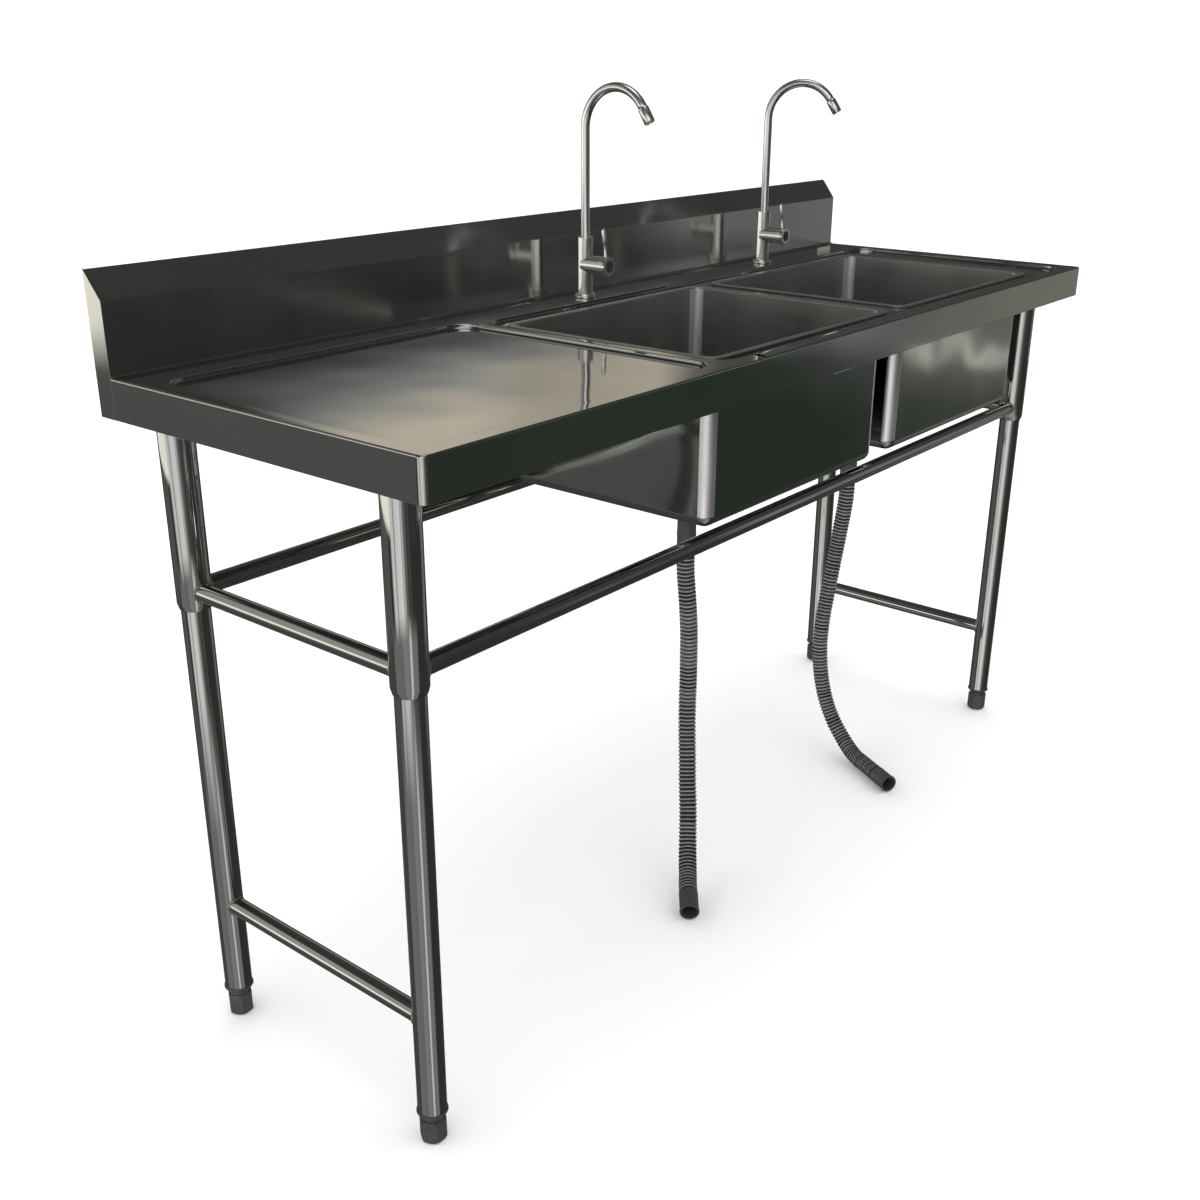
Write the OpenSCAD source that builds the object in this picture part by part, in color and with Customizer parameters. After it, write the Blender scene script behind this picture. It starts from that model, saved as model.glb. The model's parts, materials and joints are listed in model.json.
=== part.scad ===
// Two-bowl commercial sink bench with a left-hand drainboard, pillar taps,
// basket wastes with corrugated drain hoses, and a tubular leg frame.
// X runs along the bench, the splashback is on the +Y side, and the origin is
// on the floor under the middle of the bench.

/* [Worktop] */
// Overall length of the bench
bench_l = 1800; // [1700:10:2000]
// Overall depth of the bench, splashback included
bench_d = 600; // [590:5:660]
// Height of the worktop's rim above the floor
work_h = 980; // [900:5:1020]
// Height of the apron, the turned-down edge of the worktop
apron_h = 55; // [45:1:70]
// Thickness of the sheet metal
sheet = 1.5; // [1:0.1:2]
// Width of the raised rim along the worktop's edges
rim_w = 28; // [24:1:34]
// Depth of the pressed recesses below the rim
recess_z = 6; // [4:0.5:8]
// Length of the drainboard, from the left edge to the ridge beside the sinks
drain_l = 575; // [540:5:580]

/* [Splashback] */
// Height of the splashback above the worktop
splash_h = 135; // [100:5:160]
// Depth of the splashback box
splash_d = 32; // [30:1:40]
// Height above the worktop where the front face starts to slope back
splash_bend_h = 98; // [70:1:98]

/* [Bowls] */
// Outside length of a bowl
bowl_l = 494; // [460:2:500]
// Outside width of a bowl, front to back
bowl_w = 380; // [340:2:384]
// Depth of a bowl below the worktop's rim
bowl_z = 257; // [220:1:280]
// Gap between the two bowls
bowl_gap = 60; // [56:1:80]
// Distance from the front edge of the bench to the bowls
bowl_front = 66; // [60:1:70]
// Radius of the bowl's upright corners and bottom edges
bowl_r = 18; // [12:1:20]

/* [Frame] */
// Radius of the upper leg sleeves
sleeve_r = 24; // [23.5:0.5:26]
// Radius of the lower leg tubes
leg_r = 20; // [18:0.5:20]
// Radius of the rails between the legs
rail_r = 13; // [11:0.5:14]
// Distance from each end of the bench to the leg axes
leg_end = 48; // [46:1:60]
// Distance from the front and the back of the bench to the leg axes
leg_side = 90; // [80:1:100]
// Height of the upper rails above the floor
rail_up_h = 693; // [680:1:700]
// Height of the lower end rails above the floor
rail_low_h = 195; // [150:1:300]

/* [Wastes] */
// Distance from the middle of a bowl back to its drain
drain_back = 20; // [0:1:30]
// Diameter of a drain hose
hose_d = 32; // [30:1:34]

/* [Taps] */
// Distance from the front edge of the bench to the tap axes
tap_y = 512; // [506:1:520]
// Distance from the middle of a bowl to its tap, along the bench
tap_side = 14; // [0:1:20]
// Radius of the spout's arch
arch_r = 64; // [50:1:80]
// Angle that the arch covers
arch_deg = 147; // [120:1:180]
// Height above the worktop where the arch starts
arch_h = 274; // [240:1:300]
// Angle that the left spout is turned, from straight forward towards the right end
left_spout_deg = 0; // [0:1:30]
// Angle that the right spout is turned, from straight forward towards the right end
right_spout_deg = 20; // [0:1:30]

/* [Hidden] */

steel = "#8c8e8a";
dark_steel = "#4b4d4b";
chrome = "#b9bab6";
plastic = "#2f3231";
rubber = "#1c1d1d";
ceramic = "#e8e6df";

$fn = 64;

// The bench's outer planes
left_x = -bench_l / 2;
right_x = bench_l / 2;
front_y = -bench_d / 2;
back_y = bench_d / 2;
splash_y = back_y - splash_d;

// Levels of the worktop: rim, pan of the recesses, and the underside of the pan.
// past is how far a cutting shape runs beyond what it cuts.
pan_z = work_h - recess_z;
under_z = pan_z - sheet;
corner_r = 12;
recess_r = 40;
drain_recess_back = 505;
sink_recess_back = 482;
ridge_w = 15;
weld_gap = 0.1;
past = 1;

// Bowls, named left and right by their place along the bench
bowl_left_x = left_x + 864;
bowl_right_x = bowl_left_x + bowl_l + bowl_gap;
bowl_y = front_y + bowl_front + bowl_w / 2;
bowl_bottom = work_h - bowl_z;
bowl_rim_w = 12;
bowl_rim_h = 3;
drain_y = bowl_y + drain_back;

// Wastes: a flanged cup in the bowl's floor, clamped from below
cup_r = 43;
cup_wall = 2;
cup_z = bowl_bottom - 45;
waste_flange_r = 56;
spigot_r = 15;
spigot_z = bowl_bottom - 83;
seal_h = 3;
seal_w = 11;
nut_gap = 0.2;
collar_top = spigot_z + 15;
collar_z = 575;

// Legs and feet
sleeve_top = under_z - 3;
sleeve_z = 667;
tube_top = 760;
tube_z = 50;
insert_z = tube_z - 6;
stud_r = 6;
screw_r = 4;
running = 0.1;
running_gap = 0.3;
slip = 0.05;
leg_x = bench_l / 2 - leg_end;
leg_y = bench_d / 2 - leg_side;

// Taps
tap_left_x = bowl_left_x + tap_side;
tap_right_x = bowl_right_x + tap_side;
tap_axis_y = front_y + tap_y;
base_h = 6.5;
base_r = 18.5;
body_r = 13;
body_top = work_h + 101;
arch_z = work_h + arch_h;
valve_z = work_h + 56;
valve_r = 14.8;
valve_end = 39.5;
valve_floor = 8;
cartridge_r = 10.9;
hub_r = 15.6;
hub_w = 13;
hub_gap = 0.4;
cap_r = 9.5;
cap_depth = 2.5;
spindle_r = 4;
spindle_z = 20;
shank_r = 10.3;
shank_gap = 0.7;
shank_z = work_h - 55;
spout_r = 7.5;
spout_bore = 5.8;
spigot_top_r = 8;
spout_socket = 26;
aerator_r = 9;
aerator_l = 27;

// Routes of the drain hoses from the collar to the end fitting, chosen by hand
hose_route_left = [
  [-36, -24, 575], [-36, -24, 545], [-34, -26, 510], [-32, -29, 470], [-30, -31, 425],
  [-30, -32, 380], [-32, -34, 335], [-38, -38, 290], [-48, -46, 245], [-63, -59, 200],
  [-79, -72, 160], [-99, -89, 120], [-123, -107, 80], [-143, -122, 57], [-164, -138, 41],
  [-183, -152, 33], [-198, -164, 29]
];
hose_route_right = [
  [518, -24, 575], [518, -24, 545], [518, -21, 510], [517, -17, 475], [513, -14, 435],
  [505, -12, 390], [495, -10, 335], [484, -9, 280], [478, -10, 225], [475, -17, 170],
  [472, -32, 118], [465, -58, 74], [453, -95, 39], [437, -130, 22], [418, -166, 20],
  [398, -203, 20]
];
hose_sides = 12;
end_l = 45;
end_r = 17;

// ---- Helpers ----------------------------------------------------------

// Rectangle with round corners, centred on the origin
module round_rect(l, w, r) {
  square([l - 2 * r, w], center = true);
  square([l, w - 2 * r], center = true);
  for (sx = [-1, 1], sy = [-1, 1])
    translate([sx * (l / 2 - r), sy * (w / 2 - r)]) circle(r);
}

// Round rectangle between two corner points of the bench's plan
module plan_rect(x0, y0, x1, y1, r) {
  translate([(x0 + x1) / 2, (y0 + y1) / 2]) round_rect(x1 - x0, y1 - y0, r);
}

// Box with equally round upright corners and bottom edges, open end upwards
module tub(l, w, h, r) {
  translate([0, 0, r]) linear_extrude(h - r) round_rect(l, w, r);
  linear_extrude(r) square([l - 2 * r, w - 2 * r], center = true);
  for (s = [-1, 1]) {
    translate([0, s * (w / 2 - r), r]) rotate([0, 90, 0]) cylinder(r = r, h = l - 2 * r, center = true);
    translate([s * (l / 2 - r), 0, r]) rotate([90, 0, 0]) cylinder(r = r, h = w - 2 * r, center = true);
    for (t = [-1, 1]) translate([s * (l / 2 - r), t * (w / 2 - r), r]) sphere(r);
  }
}

// Turned ring from z0 to z1
module ring(r_in, r_out, z0, z1) {
  translate([0, 0, z0]) difference() {
    cylinder(r = r_out, h = z1 - z0);
    translate([0, 0, -past]) cylinder(r = r_in, h = z1 - z0 + 2 * past);
  }
}

// Places its children on each leg axis, or on one of them
module on_leg(sx, sy) { translate([sx * leg_x, sy * leg_y, 0]) children(); }
module on_legs() { for (sx = [-1, 1], sy = [-1, 1]) on_leg(sx, sy) children(); }

// ---- Worktop and splashback -------------------------------------------

module recess_outline(x0, x1, back, shrink) {
  plan_rect(left_x + x0 + shrink, front_y + rim_w + shrink,
            left_x + x1 - shrink, front_y + back - shrink, recess_r - shrink);
}

module pan(x0, x1, back) {
  translate([0, 0, under_z]) linear_extrude(recess_z + sheet) difference() {
    recess_outline(x0, x1, back, 0);
    recess_outline(x0, x1, back, sheet);
  }
  translate([0, 0, under_z]) linear_extrude(sheet) recess_outline(x0, x1, back, 0);
}

// Plan of the worktop with round front corners, grown inwards by the given amount
module top_outline(shrink) {
  r = corner_r - shrink;
  x = bench_l / 2 - shrink;
  y = front_y + shrink;
  translate([-x, y + r]) square([2 * x, splash_y - y - r]);
  translate([-x + r, y]) square([2 * (x - r), r]);
  for (s = [-1, 1]) translate([s * (x - r), y + r]) circle(r);
}

module worktop() {
  color(steel) difference() {
    union() {
      translate([0, 0, work_h - sheet]) linear_extrude(sheet) difference() {
        top_outline(0);
        recess_outline(rim_w, drain_l, drain_recess_back, 0);
        recess_outline(drain_l + ridge_w, bench_l - rim_w, sink_recess_back, 0);
      }
      translate([0, 0, work_h - apron_h]) linear_extrude(apron_h) difference() {
        top_outline(0);
        top_outline(sheet);
        translate([left_x + sheet, splash_y - past]) square([bench_l - 2 * sheet, 2 * past]);
      }
      pan(rim_w, drain_l, drain_recess_back);
      pan(drain_l + ridge_w, bench_l - rim_w, sink_recess_back);
    }
    for (x = [bowl_left_x, bowl_right_x]) {
      translate([x, bowl_y, under_z - past]) linear_extrude(sheet + 2 * past)
        round_rect(bowl_l + 2 * weld_gap, bowl_w + 2 * weld_gap, bowl_r + weld_gap);
      translate([x + tap_side, tap_axis_y, work_h - sheet - past])
        cylinder(r = shank_r + shank_gap, h = sheet + 2 * past);
    }
  }
}

// Side view of the splashback box, as [depth, height] with its outside grown inwards
function splash_outline(t) = [
  [splash_y + t, work_h - apron_h], [splash_y + t, work_h + splash_bend_h - t * 0.4],
  [back_y - t, work_h + splash_h - t * 1.6], [back_y - t, work_h - apron_h]
];

// Extrudes a [depth, height] outline along the bench from x0 to x1
module along_bench(x0, x1) {
  translate([x0, 0, 0]) rotate([90, 0, 90]) linear_extrude(x1 - x0) children();
}

module splashback() {
  color(steel) difference() {
    along_bench(left_x + sheet, right_x - sheet) polygon(splash_outline(0));
    along_bench(left_x - past, right_x + past) polygon(splash_outline(sheet));
    translate([left_x - past, splash_y + sheet, work_h - apron_h - past])
      cube([bench_l + 2 * past, splash_d - 2 * sheet, apron_h]);
  }
}

module splash_end(x) {
  color(steel) along_bench(x, x + sheet) polygon(splash_outline(0));
}
module splash_end_left() { splash_end(left_x); }
module splash_end_right() { splash_end(right_x - sheet); }

// Top-hat channels that stiffen the drainboard from below
module deck_channels() {
  channel_h = 25;
  channel_w = 60;
  channel_l = drain_recess_back - rim_w - 2 * recess_r;
  color(dark_steel) for (x = [drain_l / 3, drain_l * 0.7])
    translate([left_x + x, front_y + rim_w + recess_r, under_z - channel_h]) difference() {
      cube([channel_w, channel_l, channel_h]);
      translate([sheet, -past, -past])
        cube([channel_w - 2 * sheet, channel_l + 2 * past, channel_h + past - sheet]);
    }
}

// ---- Bowls ------------------------------------------------------------

module bowl(x) {
  h = pan_z + bowl_rim_h - bowl_bottom;
  color(steel) translate([x, bowl_y, bowl_bottom]) difference() {
    union() {
      tub(bowl_l, bowl_w, h, bowl_r);
      translate([0, 0, h - bowl_rim_h]) linear_extrude(bowl_rim_h)
        round_rect(bowl_l + 2 * bowl_rim_w, bowl_w + 2 * bowl_rim_w, bowl_r + bowl_rim_w);
    }
    translate([0, 0, sheet]) tub(bowl_l - 2 * sheet, bowl_w - 2 * sheet, h, bowl_r - sheet);
    translate([0, drain_back, -past]) cylinder(r = cup_r + weld_gap, h = sheet + 2 * past);
  }
}
module bowl_left() { bowl(bowl_left_x); }
module bowl_right() { bowl(bowl_right_x); }

// ---- Leg frame --------------------------------------------------------

// Round bar across a leg, on its inner side, from r0 to r1 from the leg's axis
module leg_screw(sy, r, r0, r1) {
  screw_drop = 35;
  translate([0, 0, sleeve_top - screw_drop]) rotate([sy * 90, 0, 0]) translate([0, 0, r0])
    cylinder(r = r, h = r1 - r0);
}

module leg_sockets() {
  plate = 80;
  spigot_h = 64;
  spigot_wall = 2;
  spigot_out = sleeve_r - sheet - 0.2;
  color(dark_steel) for (sx = [-1, 1], sy = [-1, 1]) on_leg(sx, sy) difference() {
    union() {
      translate([0, 0, sleeve_top]) linear_extrude(under_z - sleeve_top) square(plate, center = true);
      translate([0, 0, sleeve_top - spigot_h]) cylinder(r = spigot_out, h = spigot_h);
    }
    translate([0, 0, sleeve_top - spigot_h - past])
      cylinder(r = spigot_out - spigot_wall, h = spigot_h + past);
    leg_screw(sy, screw_r + running, leg_r - 10, leg_r + 10);
  }
}

module leg_screws() {
  color(dark_steel) for (sx = [-1, 1], sy = [-1, 1]) on_leg(sx, sy)
    leg_screw(sy, screw_r, sleeve_r - 5.5, sleeve_r + 2);
}

// Upper leg sleeve, drawn in around the tube at its lower end
module leg_sleeve(sx, sy) {
  lip = leg_r + running;
  inner = sleeve_r - sheet;
  neck_z = sleeve_z + 9;
  color(steel) on_leg(sx, sy) difference() {
    rotate_extrude() polygon([
      [inner, sleeve_top], [sleeve_r, sleeve_top], [sleeve_r, neck_z],
      [sleeve_r - 2.5, sleeve_z], [lip, sleeve_z], [lip, neck_z - 3], [inner, neck_z]
    ]);
    leg_screw(sy, screw_r + running, leg_r - 10, leg_r + 10);
  }
}
module leg_sleeve_front_left() { leg_sleeve(-1, -1); }
module leg_sleeve_front_right() { leg_sleeve(1, -1); }
module leg_sleeve_back_left() { leg_sleeve(-1, 1); }
module leg_sleeve_back_right() { leg_sleeve(1, 1); }

module leg_tube(sx, sy) {
  color(steel) on_leg(sx, sy) ring(leg_r - sheet, leg_r, tube_z, tube_top);
}
module leg_tube_front_left() { leg_tube(-1, -1); }
module leg_tube_front_right() { leg_tube(1, -1); }
module leg_tube_back_left() { leg_tube(-1, 1); }
module leg_tube_back_right() { leg_tube(1, 1); }

// Plugs in the tubes' lower ends, threaded for the feet
module foot_inserts() {
  plug_h = 30;
  plug_r = leg_r - sheet - running;
  bore_r = stud_r + running;
  color(plastic) on_legs() rotate_extrude() polygon([
    [bore_r, insert_z], [leg_r - 1, insert_z], [leg_r + 1.8, (insert_z + tube_z) / 2], [leg_r + 1.2, tube_z],
    [plug_r, tube_z], [plug_r, tube_z + plug_h], [bore_r, tube_z + plug_h]
  ]);
}

// Hexagonal foot on a threaded stud
module foot(sx, sy) {
  hex_r = 19;
  hex_h = 36;
  chamfer = 4;
  neck_r = hex_r - 3.5;
  neck_gap = 3;
  stud_h = 54;
  color(plastic) on_leg(sx, sy) {
    intersection() {
      cylinder(r = hex_r, h = hex_h, $fn = 6);
      cylinder(r1 = hex_r - chamfer, r2 = hex_r - chamfer + hex_h, h = hex_h);
    }
    translate([0, 0, hex_h]) cylinder(r = neck_r, h = insert_z - neck_gap - hex_h);
    translate([0, 0, hex_h]) cylinder(r = stud_r, h = stud_h);
  }
}
module foot_front_left() { foot(-1, -1); }
module foot_front_right() { foot(1, -1); }
module foot_back_left() { foot(-1, 1); }
module foot_back_right() { foot(1, 1); }

// Rail between two points, hollow, notched to the tubes it is welded to
module rail(from, to, h, post_r) {
  along_x = abs(to[0] - from[0]) > abs(to[1] - from[1]);
  span = along_x ? to[0] - from[0] : to[1] - from[1];
  color(steel) difference() {
    translate([from[0], from[1], h]) rotate(along_x ? [0, 90, 0] : [-90, 0, 0]) difference() {
      cylinder(r = rail_r, h = span);
      translate([0, 0, -past]) cylinder(r = rail_r - sheet, h = span + 2 * past);
    }
    for (p = [from, to]) translate([p[0], p[1], h - 2 * rail_r])
      cylinder(r = post_r + weld_gap, h = 4 * rail_r);
  }
}
module rail_front() { rail([-leg_x, -leg_y], [leg_x, -leg_y], rail_up_h, sleeve_r); }
module rail_back() { rail([-leg_x, leg_y], [leg_x, leg_y], rail_up_h, sleeve_r); }
module rail_left() { rail([-leg_x, -leg_y], [-leg_x, leg_y], rail_up_h, sleeve_r); }
module rail_right() { rail([leg_x, -leg_y], [leg_x, leg_y], rail_up_h, sleeve_r); }
module rail_low_left() { rail([-leg_x, -leg_y], [-leg_x, leg_y], rail_low_h, leg_r); }
module rail_low_right() { rail([leg_x, -leg_y], [leg_x, leg_y], rail_low_h, leg_r); }

// ---- Wastes and hoses -------------------------------------------------

module at_drain(x) { translate([x, drain_y, 0]) children(); }

// Flanged cup with a seat for the strainer and an outlet spigot
module waste_flange(x) {
  floor_z = bowl_bottom + sheet;
  color(chrome) at_drain(x) rotate_extrude() polygon([
    [spigot_r, spigot_z], [spigot_r, cup_z], [cup_r, cup_z], [cup_r, floor_z],
    [waste_flange_r, floor_z], [waste_flange_r - cup_wall, floor_z + cup_wall], [cup_r, floor_z + cup_wall],
    [cup_r - cup_wall, floor_z], [cup_r - cup_wall, cup_z + cup_wall],
    [spigot_r - cup_wall, cup_z + cup_wall], [spigot_r - cup_wall, spigot_z]
  ]);
}
module waste_flange_left() { waste_flange(bowl_left_x); }
module waste_flange_right() { waste_flange(bowl_right_x); }

module waste_seal(x) {
  color(rubber) at_drain(x) ring(cup_r + nut_gap, cup_r + seal_w, bowl_bottom - seal_h, bowl_bottom);
}
module waste_seal_left() { waste_seal(bowl_left_x); }
module waste_seal_right() { waste_seal(bowl_right_x); }

// Lock nut with lugs for a spanner
module waste_nut(x) {
  nut_h = 12;
  nut_w = 8;
  lugs = 6;
  lug_w = 10;
  lug_out = 6;
  nut_z = bowl_bottom - seal_h - nut_h;
  color(plastic) at_drain(x) difference() {
    union() {
      ring(cup_r + nut_gap, cup_r + nut_w, nut_z, nut_z + nut_h);
      for (i = [0:lugs - 1]) rotate(i * 360 / lugs)
        translate([cup_r + nut_w - 2, -lug_w / 2, nut_z]) cube([lug_out, lug_w, nut_h - 3]);
    }
    translate([0, 0, nut_z - past]) cylinder(r = cup_r + nut_gap, h = nut_h + 2 * past);
  }
}
module waste_nut_left() { waste_nut(bowl_left_x); }
module waste_nut_right() { waste_nut(bowl_right_x); }

// Lift-out basket with a post to pull it by
module strainer(x) {
  wall = 1.2;
  rim_z = bowl_bottom + sheet + cup_wall + running_gap;
  basket_h = 26;
  basket_z = rim_z - basket_h;
  basket_r = cup_r - 5;
  knob_h = 4;
  hole_r = 2;
  color(chrome) at_drain(x) difference() {
    union() {
      ring(basket_r - wall, cup_r + 3, rim_z, rim_z + wall);
      ring(basket_r - wall, basket_r, basket_z, rim_z + wall);
      translate([0, 0, basket_z]) cylinder(r = basket_r, h = wall);
      translate([0, 0, basket_z]) cylinder(r = 3, h = basket_h - 2);
      translate([0, 0, rim_z - knob_h]) cylinder(r = 7, h = knob_h);
    }
    // Rings of holes about 9 mm apart
    for (ring_r = [14, 24, 33]) for (a = [0:360 / round(ring_r * 0.7):359])
      rotate(a) translate([ring_r, 0, basket_z - past]) cylinder(r = hole_r, h = wall + 2 * past);
  }
}
module strainer_left() { strainer(bowl_left_x); }
module strainer_right() { strainer(bowl_right_x); }

// Smooth collar that joins the hose to the waste's spigot
module hose_collar(x) {
  color(plastic) at_drain(x) ring(spigot_r + slip, end_r, collar_z, collar_top);
}
module hose_collar_left() { hose_collar(bowl_left_x); }
module hose_collar_right() { hose_collar(bowl_right_x); }

// Direction of the route at point i
function route_dir(route, i) =
  let (a = route[max(i - 1, 0)], b = route[min(i + 1, len(route) - 1)], d = b - a) d / norm(d);

// Ring of points around the route at point i, square to it
function route_ring(route, i, r, sides) =
  let (t = route_dir(route, i), u = cross([1, 0, 0], t) / norm(cross([1, 0, 0], t)), v = cross(t, u))
  [for (k = [0:sides - 1]) route[i] + r * (cos(360 * k / sides) * u + sin(360 * k / sides) * v)];

// Closed tube swept along a route
module swept_tube(route, r, sides) {
  n = len(route);
  points = [for (i = [0:n - 1]) each route_ring(route, i, r, sides)];
  walls = [for (i = [0:n - 2], k = [0:sides - 1])
    [i * sides + k, i * sides + (k + 1) % sides, (i + 1) * sides + (k + 1) % sides, (i + 1) * sides + k]];
  caps = [[for (k = [sides - 1:-1:0]) k], [for (k = [0:sides - 1]) (n - 1) * sides + k]];
  polyhedron(points, concat(walls, caps));
}

module hose_left() { color(plastic) swept_tube(hose_route_left, hose_d / 2, hose_sides); }
module hose_right() { color(plastic) swept_tube(hose_route_right, hose_d / 2, hose_sides); }

// Smooth open fitting on the hose's free end
module hose_end(route) {
  tip = route[len(route) - 1];
  d = route_dir(route, len(route) - 1);
  end_wall = 2.5;
  color(plastic) translate(tip) rotate([0, acos(d[2]), atan2(d[1], d[0])])
    ring(end_r - end_wall, end_r, 0, end_l);
}
module hose_end_left() { hose_end(hose_route_left); }
module hose_end_right() { hose_end(hose_route_right); }

// ---- Taps -------------------------------------------------------------

module at_tap(x) { translate([x, tap_axis_y, 0]) children(); }

// Places its children on the valve's axis, with +Z pointing out to the front
module on_valve(x) { at_tap(x) translate([0, 0, valve_z]) rotate([90, 0, 0]) children(); }

module tap_base(x) {
  color(chrome) at_tap(x) rotate_extrude() polygon([
    [shank_r + running, work_h], [base_r, work_h], [base_r, work_h + base_h - 2],
    [base_r - 2, work_h + base_h], [shank_r + running, work_h + base_h]
  ]);
}
module tap_base_left() { tap_base(tap_left_x); }
module tap_base_right() { tap_base(tap_right_x); }

// Pillar body with its side valve housing and threaded shank
module tap_body(x) {
  cavity_r = cartridge_r + running;
  water_way_r = 5;
  color(chrome) difference() {
    union() {
      at_tap(x) translate([0, 0, work_h + base_h]) cylinder(r = body_r, h = body_top - work_h - base_h);
      at_tap(x) translate([0, 0, shank_z]) cylinder(r = shank_r, h = work_h + base_h - shank_z);
      on_valve(x) cylinder(r = valve_r, h = valve_end);
    }
    at_tap(x) translate([0, 0, body_top - spout_socket])
      cylinder(r = spigot_top_r + slip, h = spout_socket + past);
    at_tap(x) translate([0, 0, shank_z - past]) cylinder(r = water_way_r, h = body_top - shank_z - 5);
    on_valve(x) translate([0, 0, valve_floor]) cylinder(r = cavity_r, h = valve_end);
  }
}
module tap_body_left() { tap_body(tap_left_x); }
module tap_body_right() { tap_body(tap_right_x); }

// Washer and nut that clamp the tap from below
module tap_nut(x) {
  washer_h = 2;
  nut_h = 10;
  color(chrome) at_tap(x) difference() {
    union() {
      translate([0, 0, work_h - sheet - washer_h]) cylinder(r = 19, h = washer_h);
      translate([0, 0, work_h - sheet - washer_h - nut_h]) cylinder(r = 17, h = nut_h, $fn = 6);
    }
    translate([0, 0, work_h - 2 * nut_h]) cylinder(r = shank_r + 0.15, h = 3 * nut_h);
  }
}
module tap_nut_left() { tap_nut(tap_left_x); }
module tap_nut_right() { tap_nut(tap_right_x); }

// Ceramic valve cartridge, bored for the lever's spindle
module tap_cartridge(x) {
  color(ceramic) on_valve(x) difference() {
    translate([0, 0, valve_floor + 0.2]) cylinder(r = cartridge_r, h = valve_end - valve_floor - 0.2);
    translate([0, 0, spindle_z - past]) cylinder(r = spindle_r + running, h = valve_end);
  }
}
module tap_cartridge_left() { tap_cartridge(tap_left_x); }
module tap_cartridge_right() { tap_cartridge(tap_right_x); }

// Lever: a turned hub on the valve's end and a stepped bar standing on it
module tap_lever(x) {
  hub_z = valve_end + hub_gap;
  lean = 7;
  thin_r = 2.6;
  thin_l = 38;
  grip_r = 3.6;
  grip_l = 20;
  taper = 3;
  color(chrome) difference() {
    union() {
      on_valve(x) translate([0, 0, hub_z]) cylinder(r = hub_r, h = hub_w);
      on_valve(x) translate([0, 0, spindle_z]) cylinder(r = spindle_r, h = hub_z + 1 - spindle_z);
      on_valve(x) translate([0, 0, hub_z + hub_w / 2]) rotate([-90, 0, 0]) rotate([-lean, 0, 0]) {
        cylinder(r = thin_r, h = thin_l);
        translate([0, 0, thin_l - taper]) cylinder(r1 = thin_r, r2 = grip_r, h = taper);
        translate([0, 0, thin_l]) cylinder(r = grip_r, h = grip_l);
        translate([0, 0, thin_l + grip_l]) sphere(grip_r);
      }
    }
    on_valve(x) translate([0, 0, hub_z + hub_w - cap_depth])
      cylinder(r = cap_r + running, h = cap_depth + past);
  }
}
module tap_lever_left() { tap_lever(tap_left_x); }
module tap_lever_right() { tap_lever(tap_right_x); }

module tap_cap(x) {
  color(rubber) on_valve(x) translate([0, 0, valve_end + hub_gap + hub_w - cap_depth])
    cylinder(r = cap_r, h = cap_depth - 0.5);
}
module tap_cap_left() { tap_cap(tap_left_x); }
module tap_cap_right() { tap_cap(tap_right_x); }

// Places its children in the spout's own frame: its plane is X-Z, and +X points along the spout
module on_spout(x, turn) { at_tap(x) rotate(turn - 90) children(); }

// Swivelling gooseneck: spigot, riser and arch
module tap_spout(x, turn) {
  riser_z = body_top + running_gap;
  color(chrome) on_spout(x, turn) {
    ring(spout_bore, spigot_top_r, body_top - spout_socket + 0.5, riser_z);
    ring(spout_bore, spout_r, riser_z, arch_z);
    translate([arch_r, 0, arch_z]) rotate([90, 0, 0]) rotate(180 - arch_deg)
      rotate_extrude(angle = arch_deg) translate([arch_r, 0]) difference() {
        circle(spout_r);
        circle(spout_bore);
      }
  }
}
module tap_spout_left() { tap_spout(tap_left_x, left_spout_deg); }
module tap_spout_right() { tap_spout(tap_right_x, right_spout_deg); }

// Outlet sleeve on the end of the arch
module tap_aerator(x, turn) {
  wall = 1.5;
  color(chrome) on_spout(x, turn)
    translate([arch_r * (1 - cos(arch_deg)), 0, arch_z + arch_r * sin(arch_deg)])
      rotate([0, arch_deg, 0]) rotate_extrude() polygon([
        [spout_bore, 0], [spout_r, 0], [aerator_r, 3], [aerator_r, aerator_l],
        [aerator_r - wall, aerator_l], [aerator_r - wall, aerator_l - 3], [spout_bore, aerator_l - 3]
      ]);
}
module tap_aerator_left() { tap_aerator(tap_left_x, left_spout_deg); }
module tap_aerator_right() { tap_aerator(tap_right_x, right_spout_deg); }

// ---- Nodes ------------------------------------------------------------

worktop();
splashback();
splash_end_left();
splash_end_right();
bowl_left();
bowl_right();
deck_channels();
leg_sockets();
leg_screws();
leg_sleeve_front_left();
leg_sleeve_front_right();
leg_sleeve_back_left();
leg_sleeve_back_right();
leg_tube_front_left();
leg_tube_front_right();
leg_tube_back_left();
leg_tube_back_right();
foot_inserts();
foot_front_left();
foot_front_right();
foot_back_left();
foot_back_right();
rail_front();
rail_back();
rail_left();
rail_right();
rail_low_left();
rail_low_right();
waste_flange_left();
waste_flange_right();
waste_seal_left();
waste_seal_right();
waste_nut_left();
waste_nut_right();
strainer_left();
strainer_right();
hose_collar_left();
hose_collar_right();
hose_left();
hose_right();
hose_end_left();
hose_end_right();
tap_base_left();
tap_base_right();
tap_body_left();
tap_body_right();
tap_nut_left();
tap_nut_right();
tap_cartridge_left();
tap_cartridge_right();
tap_lever_left();
tap_lever_right();
tap_cap_left();
tap_cap_right();
tap_spout_left();
tap_spout_right();
tap_aerator_left();
tap_aerator_right();
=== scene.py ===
"""Looks of the two-bowl sink bench: pieces, materials, light and camera around the CAD frame."""

import json
import math

import bmesh
import bpy
from mathutils import Matrix, Vector


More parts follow.
